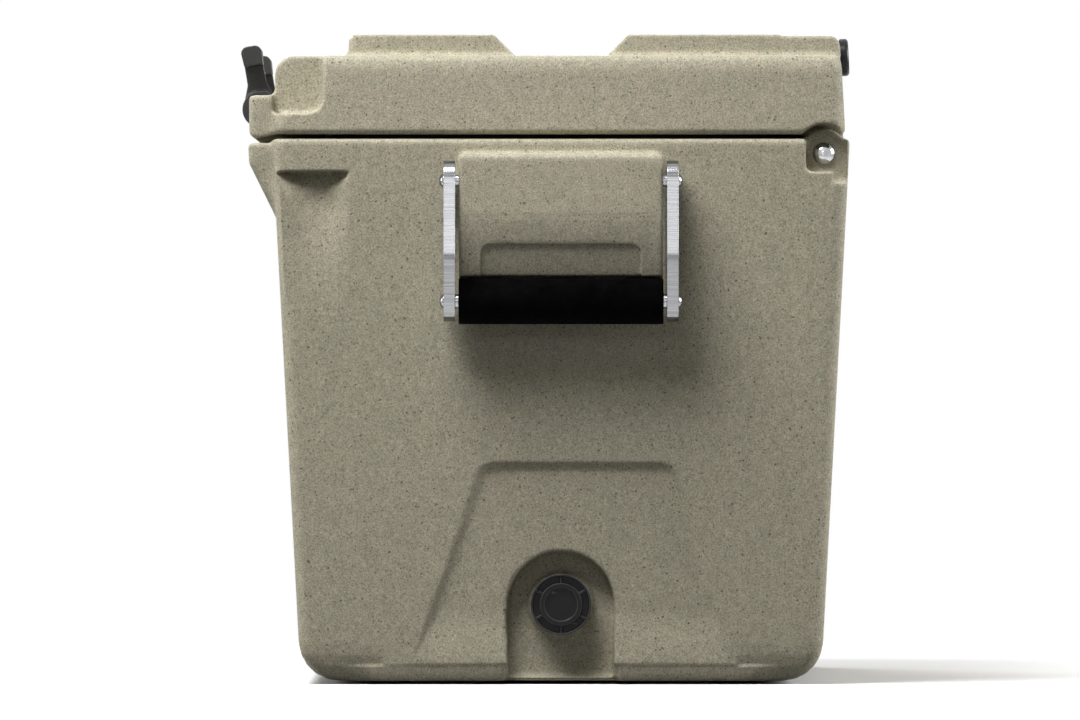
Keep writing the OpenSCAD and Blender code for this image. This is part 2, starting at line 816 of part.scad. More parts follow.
// Room in the lid for the tub's knuckles over the whole swing, and for the rod's ends inside the rear skirt
module lid_hinge_cut() {
    module room(x0, x1) {
        rod_x(lid_cut_r, x0, x1, hinge_y, hinge_z);
        box(x0, x1, hinge_y, lid_rear + past, lid_z - past, hinge_z + lid_cut_r);
    }
    both_ends() room(lid_knuckle_x1, tub_knuckle_x1 + hinge_gap);
    room(-lid_knuckle_x0, lid_knuckle_x0);
    both_ends() intersection() {
        rod_x(lid_cut_r, tub_knuckle_x1, half_l + past, hinge_y, hinge_z);
        box(0, half_l + 2 * past, hinge_y - half_w, lid_rear - skirt_w, hinge_z, lid_top);
    }
}

module gasket_ring(w, z0, z1) {
    x = half_l - gasket_in;
    y = half_w - gasket_in;
    r = cavity_r + wall_t - gasket_in;
    translate([0, 0, z0]) linear_extrude(z1 - z0) difference() {
        round_rect(-x - w / 2, x + w / 2, -y - w / 2, y + w / 2, r + w / 2);
        round_rect(w / 2 - x, x - w / 2, w / 2 - y, y - w / 2, r - w / 2);
    }
}

// Recess over the padlock flange at a front corner, open to the end and the top
module lock_recess() {
    along_x(half_l - lock_d, half_l + past) {
        translate([lock_y0, lock_floor + lock_r]) square([lock_y1 - lock_y0, pad_top - lock_floor]);
        translate([lock_y0, lock_floor]) square([lock_y1 - lock_y0 - lock_r, lock_r + past]);
        translate([lock_y1 - lock_r, lock_floor + lock_r]) circle(lock_r);
    }
}

// Notch in the ledge for the barrel of a latch and the swing of its neck
module latch_notch() {
    half_barrel = latch_barrel_l / 2 + notch_gap;
    half_neck = latch_neck_w / 2 + keeper_gap;
    front = -ledge_front - past;
    low = latch_z - latch_barrel_r - notch_gap;
    rod_x(latch_barrel_r + notch_gap, -half_barrel, half_barrel, latch_y, latch_z);
    box(-half_barrel, half_barrel, front, latch_y, low, ledge_top + past);
    back = latch_y + latch_neck_t / 2 + latch_flare + keeper_gap;
    box(-half_neck, half_neck, front, back, lid_z - past, latch_z);
}

// Room for the foam: a lower part inside the plug that widens above the gasket
module lid_foam_space(gap) {
    wall = skin_t + gap;
    low_x = half_l - wall_t - plug_gap - wall;
    low_y = half_w - wall_t - plug_gap - wall;
    step_z = lid_z + groove_h + wall;
    step_h = 6;
    high_x = half_l - lock_d - wall;
    high_front = -lid_front + 4 + wall;
    high_rear = hinge_y - lid_cut_r - wall;
    r = cavity_r - plug_gap - skin_t;
    loft([
        [lid_z - plug_h + wall, low_x - 3, 3 - low_y, low_y - 3, r],
        [step_z, low_x, -low_y, low_y, r],
        [step_z + step_h, high_x, high_front, high_rear, r],
        [lid_top - wall, high_x, high_front + 6, high_rear, r]
    ]);
}

module rear_bumper_at(x) {
    translate([x, lid_rear_y(bumper_z), bumper_z]) rotate([lid_rear_slope - 90, 0, 0]) children();
}

stem_r = 4;
stem_l = 12;

module lid_shell() {
    placed() color("#a39a80") difference() {
        union() {
            lid_slab();
            lid_ledge();
            lid_pads();
            lid_plug();
            lid_knuckles();
        }
        lid_foam_space(0);
        lid_hinge_cut();
        gasket_ring(gasket_w + 2 * seat_gap, lid_z - past, lid_z + groove_h);
        both_ends() lock_recess();
        at_latches() {
            latch_notch();
            rod_x(latch_pin_r + run_gap, -latch_barrel_l / 2 - 10, latch_barrel_l / 2 + 10, latch_y, latch_z);
        }
        rod_x(hinge_rod_r + run_gap, -half_l, half_l, hinge_y, hinge_z);
        for (x = [-bumper_pitch / 2, bumper_pitch / 2]) rear_bumper_at(x)
            translate([0, 0, -stem_l]) cylinder(r = stem_r + run_gap, h = 2 * stem_l);
        fill_port(lid_z - plug_h, skin_t + past);
    }
}

module lid_foam() {
    placed() color("#e6d9a8") lid_foam_space(foam_gap);
}

module lid_fill_plug() {
    placed() color("#2b2b2b") translate([0, 0, lid_z - plug_h]) {
        cylinder(r = port_lip_r, h = port_lip_t);
        cylinder(r = port_r - seat_gap, h = skin_t - seat_gap);
    }
}

module lid_gasket() {
    placed() color("#303030") gasket_ring(gasket_w, rim_h, lid_z + groove_h - seat_gap);
}

module rear_bumpers() {
    placed() color("#1c1c1c") for (x = [-bumper_pitch / 2, bumper_pitch / 2]) rear_bumper_at(x) {
        cylinder(r = bumper_r, h = bumper_out - bumper_edge);
        translate([0, 0, bumper_out - bumper_edge])
            cylinder(r1 = bumper_r, r2 = bumper_r - bumper_edge, h = bumper_edge);
        translate([0, 0, 1 - stem_l]) cylinder(r = stem_r, h = stem_l);
    }
}

// Latches

module latch_pins() {
    placed() color("silver") at_latches()
        rod_x(latch_pin_r, -latch_barrel_l / 2 - 9.5, latch_barrel_l / 2 + 9.5, latch_y, latch_z);
}

// Rubber latch: a pivot barrel, a flared neck and a crossbar for the fingers that thickens to its edge
module latch() {
    half_t = latch_neck_t / 2;
    top_y = latch_bar_t / 2 - bar_edge_r;
    top_z = bar_top - bar_edge_r;
    neck_side = [
        [0.93 * latch_barrel_r, 0.3 * latch_barrel_r], [half_t + latch_flare, 0.95 * latch_barrel_r],
        [half_t, 1.4 * latch_barrel_r], [half_t, top_z]
    ];
    color("#2a2a2a") translate([0, latch_y, latch_z]) rotate([latch_lean, 0, 0]) difference() {
        union() {
            rod_x(latch_barrel_r, -latch_barrel_l / 2, latch_barrel_l / 2, 0, 0);
            along_x(-latch_neck_w / 2, latch_neck_w / 2) polygon(concat(
                neck_side, [for (i = [len(neck_side) - 1:-1:0]) [-neck_side[i][0], neck_side[i][1]]]
            ));
            along_x(-latch_bar_l / 2, latch_bar_l / 2) polygon(concat(
                arc([top_y, top_z], bar_edge_r, 0, 90, corner_steps),
                arc([-top_y, top_z], bar_edge_r, 90, 180, corner_steps),
                [[-half_t, bar_low], [half_t, bar_low]]
            ));
        }
        rod_x(latch_pin_r + run_gap, -latch_barrel_l, latch_barrel_l, 0, 0);
    }
}

module latch_right() {
    placed() translate([latch_pitch / 2, 0, 0]) latch();
}

module latch_left() {
    placed() translate([-latch_pitch / 2, 0, 0]) latch();
}

// Handles, drawn for the right end

// Side arm: an even strip with round ends, bent outwards between its pivot and the grip
module arm() {
    pivot = [pivot_x, pivot_z];
    grip = [grip_x, grip_z];
    upper = atan2(bend[1] - pivot[1], bend[0] - pivot[0]);
    lower = atan2(grip[1] - bend[1], grip[0] - bend[0]);
    inner = (upper + lower) / 2 - 90;
    outline = concat(
        arc(pivot, arm_r, upper + 270, upper + 90, arm_steps),
        arc(bend, arm_r, upper + 90, lower + 90, 4),
        arc(grip, arm_r, lower + 90, lower - 90, arm_steps),
        [bend + arm_r / cos((upper - lower) / 2) * [cos(inner), sin(inner)]]
    );
    color("#c9ccd0") difference() {
        along_y(arm_in, arm_in + arm_t) polygon(outline);
        rod_y(bush_r + run_gap, arm_in - past, arm_in + arm_t + past, pivot_x, pivot_z);
        rod_y(screw_r + run_gap, arm_in - past, arm_in + arm_t + past, grip_x, grip_z);
    }
}

module button_screw(x, z, seat_y, length) {
    dome_r = (head_r * head_r + head_h * head_h) / (2 * head_h);
    difference() {
        union() {
            rod_y(screw_r, seat_y - length, seat_y + 0.6, x, z);
            translate([x, seat_y, z]) rotate([-90, 0, 0]) intersection() {
                translate([0, 0, head_h - dome_r]) sphere(r = dome_r);
                cylinder(r = head_r, h = head_h);
            }
        }
        translate([x, seat_y + head_h - socket_d, z]) rotate([-90, 0, 0])
            cylinder(r = socket_r, h = socket_d + past, $fn = 6);
    }
}

module grip_core() {
    color("#8d9196") difference() {
        rod_y(grip_core_r, -grip_l / 2, grip_l / 2, grip_x, grip_z);
        both_sides() rod_y(screw_r + run_gap, grip_l / 2 - 18, grip_l / 2 + past, grip_x, grip_z);
    }
}

module grip_sleeve() {
    color("#101010") difference() {
        rod_y(grip_r, -grip_l / 2, grip_l / 2, grip_x, grip_z);
        rod_y(grip_core_r + run_gap, -grip_l / 2 - past, grip_l / 2 + past, grip_x, grip_z);
    }
}

module grip_spacers() {
    color("silver") both_sides() difference() {
        rod_y(head_r, grip_l / 2, arm_in, grip_x, grip_z);
        rod_y(screw_r + run_gap, grip_l / 2 - past, arm_in + past, grip_x, grip_z);
    }
}

module grip_screws() {
    color("silver") both_sides() button_screw(grip_x, grip_z, arm_in + arm_t, arm_t + grip_spacer + 16);
}

// Brass inserts in the handle blocks, the bushes that the arms turn on and their screws
pivot_play = 0.2;
bush_end = arm_in + arm_t + pivot_play;

module pivot_inserts() {
    placed() color("#b08d4c") both_ends() both_sides() difference() {
        rod_y(insert_r, block_w / 2 - insert_l + seat_gap, block_w / 2, pivot_x, pivot_z);
        rod_y(screw_r + run_gap, block_w / 2 - insert_l - past, block_w / 2 + past, pivot_x, pivot_z);
    }
}

module pivot_bushes() {
    placed() color("silver") both_ends() both_sides() difference() {
        rod_y(bush_r, block_w / 2, bush_end, pivot_x, pivot_z);
        rod_y(screw_r + run_gap, block_w / 2 - past, bush_end + past, pivot_x, pivot_z);
    }
}

module pivot_screws() {
    placed() color("silver") both_ends() both_sides()
        button_screw(pivot_x, pivot_z, bush_end, bush_end - block_w / 2 + insert_l - 2);
}

module left_end() {
    mirror([1, 0, 0]) children();
}

module right_arm_front() {
    placed() mirror([0, 1, 0]) arm();
}

module right_arm_rear() {
    placed() arm();
}

module right_grip_core() {
    placed() grip_core();
}

module right_grip_sleeve() {
    placed() grip_sleeve();
}

module right_grip_spacers() {
    placed() grip_spacers();
}

module right_grip_screws() {
    placed() grip_screws();
}

module left_arm_front() {
    placed() left_end() mirror([0, 1, 0]) arm();
}

module left_arm_rear() {
    placed() left_end() arm();
}

module left_grip_core() {
    placed() left_end() grip_core();
}

module left_grip_sleeve() {
    placed() left_end() grip_sleeve();
}

module left_grip_spacers() {
    placed() left_end() grip_spacers();
}

module left_grip_screws() {
    placed() left_end() grip_screws();
}

tub_shell();
tub_foam();
tub_fill_plug();
rubber_feet();
foot_screws();
drain_fitting();
drain_gasket();
drain_nut();
drain_seal();
drain_cap();
hinge_rod();
hinge_caps();
pivot_inserts();
pivot_bushes();
pivot_screws();
lid_shell();
lid_foam();
lid_fill_plug();
lid_gasket();
rear_bumpers();
latch_pins();
latch_right();
latch_left();
right_arm_front();
right_arm_rear();
right_grip_core();
right_grip_sleeve();
right_grip_spacers();
right_grip_screws();
left_arm_front();
left_arm_rear();
left_grip_core();
left_grip_sleeve();
left_grip_spacers();
left_grip_screws();
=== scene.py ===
"""Looks of the cooler chest: soft-edged moulded skins, speckled plastic, brushed arms, rubber and steel.

Metres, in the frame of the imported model. The camera stands where the photograph was taken: level with the
middle of the chest, far off its right-hand end.
"""

import json
import math

import bmesh
import bpy
import numpy as np
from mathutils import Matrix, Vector


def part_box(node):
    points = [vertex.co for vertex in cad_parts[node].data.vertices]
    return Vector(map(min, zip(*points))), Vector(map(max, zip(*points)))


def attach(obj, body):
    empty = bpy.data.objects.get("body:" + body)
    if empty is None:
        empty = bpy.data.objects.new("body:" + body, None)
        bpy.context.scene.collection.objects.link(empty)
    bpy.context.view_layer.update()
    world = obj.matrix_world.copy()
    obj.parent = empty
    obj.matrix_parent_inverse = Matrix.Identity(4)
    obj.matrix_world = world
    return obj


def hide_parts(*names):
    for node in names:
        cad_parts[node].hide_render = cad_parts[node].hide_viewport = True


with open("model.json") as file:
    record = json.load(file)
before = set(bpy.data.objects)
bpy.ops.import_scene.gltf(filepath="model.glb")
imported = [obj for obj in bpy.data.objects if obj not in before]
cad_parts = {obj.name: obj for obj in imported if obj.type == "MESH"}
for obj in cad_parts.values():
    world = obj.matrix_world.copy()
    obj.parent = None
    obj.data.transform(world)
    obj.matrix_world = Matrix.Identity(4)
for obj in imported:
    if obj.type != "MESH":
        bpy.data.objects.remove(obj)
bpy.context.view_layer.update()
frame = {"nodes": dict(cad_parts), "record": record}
nodes = frame["nodes"]
scene = bpy.context.scene
scene.view_settings.view_transform = "Standard"

MID_Y = sum(c.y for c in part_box("tub_fill_plug")) / 2
WHITE = (1, 1, 1, 1)
WELD = 2e-5
MIX_A, MIX_B, MIX_OUT = 6, 7, 2  # the colour sockets of a Mix node


def srgb(*rgb):
    """Linear colour of an 8-bit sRGB triple."""
    linear = [(c / 12.92 if c <= 0.04045 else ((c + 0.055) / 1.055) ** 2.4) for c in (v / 255 for v in rgb)]
    return (*linear, 1.0)


# Materials


class Surface:
    """One principled material whose patterns are laid out in the object's own coordinates."""

    def __init__(self, name):
        self.material = bpy.data.materials.new(name)
        self.material.use_nodes = True
        tree = self.material.node_tree
        self.nodes, self.links = tree.nodes, tree.links
        self.nodes.clear()
        out = self.nodes.new("ShaderNodeOutputMaterial")
        self.shader = self.nodes.new("ShaderNodeBsdfPrincipled")
        self.links.new(self.shader.outputs[0], out.inputs[0])
        self.place = self.nodes.new("ShaderNodeTexCoord").outputs["Object"]

    def put(self, socket, value):
        if isinstance(value, bpy.types.NodeSocket):
            self.links.new(value, socket)
        else:
            socket.default_value = value

    def set(self, **values):
        for name, value in values.items():
            self.put(self.shader.inputs[name.replace("_", " ")], value)

    def stretched(self, scale, offset=(0, 0, 0), turn=(0, 0, 0)):
        mapping = self.nodes.new("ShaderNodeMapping")
        mapping.inputs["Scale"].default_value = scale
        mapping.inputs["Location"].default_value = offset
        mapping.inputs["Rotation"].default_value = turn
        self.links.new(self.place, mapping.inputs["Vector"])
        return mapping.outputs[0]

    def noise(self, scale, detail=2.0, roughness=0.5, at=None):
        node = self.nodes.new("ShaderNodeTexNoise")
        self.links.new(at or self.place, node.inputs["Vector"])
        node.inputs["Scale"].default_value = scale
        node.inputs["Detail"].default_value = detail
        node.inputs["Roughness"].default_value = roughness
        return node.outputs["Fac"]

    def cells(self, scale, at=None):
        """(distance to the middle of the cell, a number drawn for each cell)."""
        node = self.nodes.new("ShaderNodeTexVoronoi")
        self.links.new(at or self.place, node.inputs["Vector"])
        node.inputs["Scale"].default_value = scale
        drawn = self.nodes.new("ShaderNodeSeparateColor")
        self.links.new(node.outputs["Color"], drawn.inputs[0])
        return node.outputs["Distance"], drawn.outputs[0]

    def span(self, value, source, target):
        """A value taken from one range (low, high) to another, and held at its ends."""
        node = self.nodes.new("ShaderNodeMapRange")
        self.put(node.inputs["Value"], value)
        for name, number in zip(("From Min", "From Max", "To Min", "To Max"), (*source, *target)):
            self.put(node.inputs[name], number)
        return node.outputs["Result"]

    def times(self, a, b):
        node = self.nodes.new("ShaderNodeMath")
        node.operation = "MULTIPLY"
        self.put(node.inputs[0], a)
        self.put(node.inputs[1], b)
        return node.outputs[0]

    def ramp(self, value, *stops):
        node = self.nodes.new("ShaderNodeValToRGB")
        self.links.new(value, node.inputs[0])
        points = node.color_ramp.elements
        while len(points) < len(stops):
            points.new(0.5)
        for point, (at, colour) in zip(points, stops):
            point.position = at
            point.color = colour
        return node.outputs["Color"]

    def mix(self, amount, a, b):
        node = self.nodes.new("ShaderNodeMix")
        node.data_type = "RGBA"
        self.put(node.inputs["Factor"], amount)
        self.put(node.inputs[MIX_A], a)
        self.put(node.inputs[MIX_B], b)
        return node.outputs[MIX_OUT]

    def scaled(self, colour, by):
        """A colour with its brightness multiplied by a number that varies over the surface."""
        node = self.nodes.new("ShaderNodeVectorMath")
        node.operation = "SCALE"
        self.put(node.inputs[0], colour)
        self.put(node.inputs["Scale"], by)
        return node.outputs[0]

    def rounded(self, radius):
        node = self.nodes.new("ShaderNodeBevel")
        node.samples = 4
        node.inputs["Radius"].default_value = radius
        return node.outputs[0]

    def bump(self, height, depth, strength, normal=None):
        node = self.nodes.new("ShaderNodeBump")
        node.inputs["Strength"].default_value = strength
        node.inputs["Distance"].default_value = depth
        self.links.new(height, node.inputs["Height"])
        if normal is not None:
            self.links.new(normal, node.inputs["Normal"])
        return node.outputs[0]


def speckled_plastic():
    """Tan rotomoulded plastic with a fine grain, three sizes of dark specks and a few pale ones."""
    s = Surface("speckled_plastic")
    base = s.ramp(
        s.noise(75, detail=3, roughness=0.55),
        (0.34, srgb(159, 155, 136)),
        (0.50, srgb(163, 157, 137)),
        (0.66, srgb(166, 159, 140)),
    )
    grain = s.span(s.noise(820, detail=2, roughness=0.6), (0.25, 0.75), (0.58, 1.42))
    cloud = s.span(s.noise(190, detail=2, roughness=0.5), (0.3, 0.7), (0.92, 1.08))
    shade = s.times(grain, cloud)
    smallest, core = 0.002, 0.5
    for scale, turn, widest, left_out, tint in (
        (250, (0.6, 0.5, 0.4), 0.27, 0.40, 0.30),
        (400, (1.1, 0.3, 0.8), 0.36, 0.10, 0.50),
        (620, (0.4, 0.9, 0.2), 0.42, 0.00, 0.68),
        (380, (0.8, 1.2, 0.5), 0.30, 0.60, 1.34),
    ):
        far, drawn = s.cells(scale, s.stretched((1, 1, 1), turn, turn))
        reach = s.span(drawn, (left_out, 1.0), (smallest, widest))
        speck = s.span(far, (s.times(reach, core), reach), (tint, 1.0))
        shade = s.times(shade, speck)
    s.set(Base_Color=s.scaled(base, shade))
    s.set(Roughness=s.span(s.noise(240, detail=3), (0.3, 0.7), (0.46, 0.60)))
    s.set(Specular_IOR_Level=0.22)
    s.set(Normal=s.bump(s.noise(420, detail=3, roughness=0.55), depth=0.0005, strength=0.35))
    return s.material


def dull_black(name, colour, rough, grain, depth, soft_edge, shine=0.4, edge_highlight_colour=None):
    """Moulded rubber or plastic: near-black with a fine skin, dusty in patches, perhaps with a painted
    highlight on its sharp edges and painted shade in its hollows.
    """
    s = Surface(name)
    dust, rough_play = 3, 0.06
    low, high = (srgb(*(max(0, c + d) for c in colour)) for d in (-dust, dust))
    base = s.ramp(s.noise(60, detail=4, roughness=0.6), (0.35, low), (0.65, high))
    if edge_highlight_colour:
        edge = s.nodes.new("ShaderNodeNewGeometry").outputs["Pointiness"]
        highlight_edges, shaded_hollows = (0.510, 0.60), (0.40, 0.49)
        # Painted highlight: the sharpest edges are mixed towards a pale colour.
        base = s.mix(s.span(edge, highlight_edges, (0.0, 1.0)), base, srgb(*edge_highlight_colour))
        # Painted shade: hollows and grooves are made darker.
        base = s.scaled(base, s.span(edge, shaded_hollows, (0.1, 1.0)))
    s.set(Base_Color=base)
    s.set(Roughness=s.span(s.noise(150, detail=3), (0.3, 0.7), (rough - rough_play, rough + rough_play)))
    skin = s.noise(grain, detail=2, roughness=0.5)
    s.set(Specular_IOR_Level=shine)
    s.set(Normal=s.bump(skin, depth, strength=0.5, normal=s.rounded(soft_edge)))
    return s.material


def brushed_metal(name, colour, rough, lines, stretch, soft_edge):
    """Metal with fine brush lines across it."""
    s = Surface(name)
    darker, lighter, smoother, rougher = -24, 20, -0.05, 0.07
    streak = s.noise(lines, detail=3, roughness=0.6, at=s.stretched(stretch))
    low, high = (srgb(*(min(255, c + d) for c in colour)) for d in (darker, lighter))
    s.set(Base_Color=s.ramp(streak, (0.3, low), (0.7, high)), Metallic=1.0)
    s.set(Roughness=s.span(streak, (0.3, 0.7), (rough + smoother, rough + rougher)))
    s.set(Normal=s.bump(streak, depth=0.00006, strength=0.5, normal=s.rounded(soft_edge)))
    return s.material


def foam():
    """Pale yellow rigid foam with an open, cellular face."""
    s = Surface("foam")
    far, drawn = s.cells(900)
    s.set(Base_Color=s.ramp(drawn, (0.0, srgb(222, 206, 150)), (1.0, srgb(238, 224, 176))), Roughness=0.95)
    s.set(Normal=s.bump(far, depth=0.0006, strength=0.6))
    return s.material


PLASTIC = speckled_plastic()
# Colour, roughness, grains to a metre and their depth, softness of the edges, shine, pale colour of the
# painted edge highlight (giving one also adds painted shade in hollows)
RUBBER = dull_black("black_rubber", (36, 36, 36), 0.50, 700, 0.00025, 0.0010)
HARD_BLACK = dull_black("black_plastic", (16, 16, 17), 0.30, 900, 0.00008, 0.0004, 0.25)
# The drain cap gets a painted highlight on its sharp edges and painted shade in its grooves.
CAP = dull_black("cap_plastic", (22, 22, 23), 0.34, 900, 0.00008, 0.0003, 0.16, (126, 126, 127))
GRIP = dull_black("grip_rubber", (2, 2, 2), 0.85, 1100, 0.0003, 0.0012, 0.02)
SEAL = dull_black("seal_rubber", (58, 58, 57), 0.62, 600, 0.0002, 0.0006, 0.3)
# Colour, roughness, brush lines to a metre, how they are stretched, softness of the edges
ALUMINIUM = brushed_metal("aluminium", (137, 138, 140), 0.17, 60, (1.0, 0.35, 22.0), 0.0008)
STEEL = brushed_metal("steel", (150, 151, 154), 0.14, 420, (1.0, 1.0, 1.0), 0.0005)
CHROME = brushed_metal("chrome", (172, 173, 175), 0.09, 90, (1.0, 1.0, 1.0), 0.0003)
BRASS = brushed_metal("brass", (196, 160, 92), 0.28, 300, (1.0, 3.0, 1.0), 0.0004)
FOAM = foam()

FINISH = {
    "speckled_plastic": PLASTIC,
    "foam": FOAM,
    "black_rubber": RUBBER,
    "black_plastic": HARD_BLACK,
    "grip_rubber": GRIP,
    "aluminium": ALUMINIUM,
    "steel": STEEL,
    "brass": BRASS,
    "seal_rubber": SEAL,
}
slot_of = {part["node"]: part["material_slot"] for part in frame["record"]["subparts"]}


def paint(obj, material):
    obj.data.materials.clear()
    obj.data.materials.append(material)


# Steps that reshape the soft-edged copies. Each moves the points of an array of places, (n, 3).

# The end walls lean out: where they stand at the floor, and what a metre of height adds
WALL_FOOT, WALL_LEAN = 0.338722, 0.05241
DRAIN_Z = 0.0595


def end_wall(z):
    """How far out the plane of an end wall stands at a height."""
    return WALL_FOOT + WALL_LEAN * z


def smooth(t):
    """0 to 1 with an easy start and an easy end."""
    t = np.clip(t, 0, 1)
    return t * t * (3 - 2 * t)


def square_ledge(at):
    """Draws the lower edge of the lid's front ledge tight, and a little lower than the slab behind it."""
    front, foot, loose_r, tight_r, drop = 0.232, 0.4093, 0.009, 0.005, 0.003
    deep, fade, tall, slack = 0.020, 0.010, 0.015, 0.001
    inset, z = front + at[:, 1] - MID_Y, at[:, 2] - foot

    def edge(r):
        return r - np.sqrt(np.maximum(0, r * r - (r - np.clip(z, 0, r)) ** 2))

    share = np.clip((deep - inset) / fade, 0, 1) * (inset > -slack)
    low = (z > -slack) & (z < tall)
    at[:, 1] -= np.where(low, (edge(loose_r) - edge(tight_r)) * share, 0)
    at[:, 2] -= np.where(low, drop * np.clip(1 - z / tall, 0, 1) * share, 0)


def fade_panels(at):
    """Lets each end panel's floor run out to the wall at its foot, and squares the wall's lower edge."""
    foot, top, half_w, ramp, panel_d = 0.014, 0.170, 0.132, 0.042, 0.0055
    square, edge_d, corner_y, corner_fade, drain_half_w = 0.7, 0.014, 0.165, 0.03, 0.0425
    hair = 0.0001
    x, y, z = np.abs(at[:, 0]), np.abs(at[:, 1] - MID_Y), at[:, 2]
    depth = end_wall(z) - x
    near = (z > foot) & (z < top) & (y < half_w) & (depth > hair) & (depth < panel_d)
    out = np.where(near, depth * (1 - smooth((z - foot) / ramp)), 0)
    drain = (at[:, 0] > 0) & (y < drain_half_w)
    below = (z <= foot) & (depth > hair) & (depth < edge_d) & ~drain
    out += np.where(below, depth * square * np.clip((corner_y - y) / corner_fade, 0, 1), 0)
    at[:, 0] += np.sign(at[:, 0]) * out


def sink_arch(at):
    """Sinks the floor of the drain's recess, except for the round seat that carries the drain."""
    floor_x, wall_x, arch_r, seat_r, deeper = 0.3258, 0.3418, 0.0405, 0.0225, 0.0044
    foot, seat_fade, slack = 0.0035, 0.003, 0.0012
    x, y, z = at[:, 0], np.abs(at[:, 1] - MID_Y), at[:, 2]
    from_axis = np.hypot(y, z - DRAIN_Z)
    inside = (x > floor_x - slack) & (x < wall_x) & (y < arch_r) & (z > foot)
    inside &= (z < DRAIN_Z) | (from_axis < arch_r)
    share = np.clip((wall_x - x) / (wall_x - floor_x), 0, 1)
    share = share * np.clip((from_axis - seat_r) / seat_fade, 0, 1)
    at[:, 0] -= np.where(inside, deeper * share, 0)


def ease_blocks(at):
    """Bends each block between the arms in one easy curve down to the grip, its finger pocket shallow."""
    face, bend, low, slope = 0.38785, 0.3475, 0.3022, 0.3822
    top, half_w, eased_in, curl = 0.3525, 0.0766, 0.0112, 1.6
    grip_x, grip_z, grip_clear, grip_spare = 0.37785, 0.285, 0.0186, 0.001
    pocket_top, pocket_bend, pocket_low, pocket_half_w = 0.3285, 0.304, 0.296, 0.0606
    pocket_d, pocket_keep, pocket_reach = 0.008, 0.30, 0.030
    reach, slack, hair = 0.012, 0.002, 0.0005
    x, y, z = np.abs(at[:, 0]), np.abs(at[:, 1] - MID_Y), at[:, 2]
    line = face - slope * np.maximum(0, bend - np.maximum(z, low))
    curve = face - eased_in * (np.clip(top - z, 0, top - low) / (top - low)) ** curl
    beside = grip_x - np.sqrt(np.maximum(0, grip_clear**2 - (z - grip_z) ** 2))
    by_grip = z < grip_z + grip_clear
    curve = np.where(by_grip, np.minimum(curve, beside), curve)
    depth = line - x
    near = (z > low - hair) & (z < top) & (y < half_w) & (depth > -slack) & (depth < reach)
    eased = x + (curve - line) * np.clip(1 - depth / reach, 0, 1)
    pocket = (z > pocket_low) & (z < pocket_top) & (y < pocket_half_w)
    pocket &= (depth > -slack) & (depth < pocket_reach)
    rise = np.clip((z - pocket_low) / (pocket_bend - pocket_low), 0, 1)
    filled = x + rise * (curve - line + np.clip(depth, 0, pocket_d) * (1 - pocket_keep))
    filled = np.where(by_grip, np.minimum(filled, beside - grip_spare), filled)
    eased = np.where(pocket, np.maximum(x, filled), np.where(near, eased, x))
    at[:, 0] = np.sign(at[:, 0]) * eased


def lengthen_scoops(at):
    """Lets the hollow under each padlock flange run out down the wall in a long soft slope."""
    top, middle, half_w = 0.382, -0.185, 0.0288
    cone_d, cone_low, cone_tip, cone_slope, cone_lean = 0.024, 0.315, 0.0005, 0.4275, 0.0746
    deep, run, fall, start, shell_spare, flat_spare = 0.016, 0.120, 2.2, 6, 0.0026, 0.0062
    right_fade, left_fade, loose_from, loose_over = 0.020, 0.036, 0.60, 0.25
    edge, skin, slack = 0.0012, 0.003, 0.002
    x, y, z = np.abs(at[:, 0]), at[:, 1] - MID_Y - middle, at[:, 2]
    wall = end_wall(z)
    depth = wall - x
    up = np.clip(z - cone_low, 0, top - cone_low)
    cone_r = cone_tip + cone_slope * up
    cone = np.maximum(0, np.sqrt(np.maximum(0, cone_r**2 - y * y)) - cone_lean * up)
    roof = (z > top - edge) & (z < top + edge) & (depth < cone + slack)
    back = (z > top - run) & (z <= top - edge) & (np.abs(depth - cone) < skin)
    near = (roof | back) & (np.abs(y) < half_w) & (depth > -slack)
    down = np.clip((top - z) / run, 0, 1)
    soft = smooth((half_w - y) / right_fade) * smooth((half_w + y) / left_fade)
    share = np.clip(down * start, 0, 1)
    hollow = deep * (cone / cone_d * (1 - share) + soft * share) * (1 - down) ** fall
    hollow = np.minimum(hollow, np.maximum(cone + shell_spare, flat_spare))
    # Below the cone the rounding of the tub's corner comes back bit by bit
    loose = np.clip((down - loose_from) / loose_over, 0, 1)
    eased = np.where(roof, depth * deep / cone_d, hollow + (depth - cone) * loose)
    at[:, 0] = np.where(near, np.sign(at[:, 0]) * (wall - eased), at[:, 0])


def deepen_cap(at):
    """Cuts the drain cap's grip ring and dish deeper."""
    face, rim_r, socket_r = 0.34384, 0.0214, 0.0145
    dish_d, ring_d, more, hair = 0.0022, 0.0034, 0.75, 0.0002
    depth, r = face - at[:, 0], np.hypot(at[:, 1] - MID_Y, at[:, 2] - DRAIN_Z)
    front = (depth > hair) & (depth < np.where(r < socket_r, dish_d, ring_d)) & (r < rim_r)
    at[:, 0] -= np.where(front, depth * more, 0)


# Soft-edged copies of the moulded solids


def outer_faces(bm, axis, reach, top):
    """Deletes what is reached only through a filling port, and closes the port."""

    def in_port(face):
        return all(
            math.hypot(v.co.x - axis[0], v.co.y - axis[1]) < reach and v.co.z < top for v in face.verts
        )

    start = max(bm.faces, key=lambda f: f.calc_center_median().x)
    seen, edge = {start}, [start]
    while edge:
        for side in edge.pop().edges:
            for face in side.link_faces:
                if face not in seen and not in_port(face):
                    seen.add(face)
                    edge.append(face)
    bmesh.ops.delete(bm, geom=[f for f in bm.faces if f not in seen], context="FACES")
    bmesh.ops.holes_fill(bm, edges=[e for e in bm.edges if e.is_boundary], sides=0)


def bake(obj):
    """Applies the object's modifiers to its mesh."""
    before = obj.data
    obj.data = bpy.data.meshes.new_from_object(obj.evaluated_get(bpy.context.evaluated_depsgraph_get()))
    obj.modifiers.clear()
    bpy.data.meshes.remove(before)


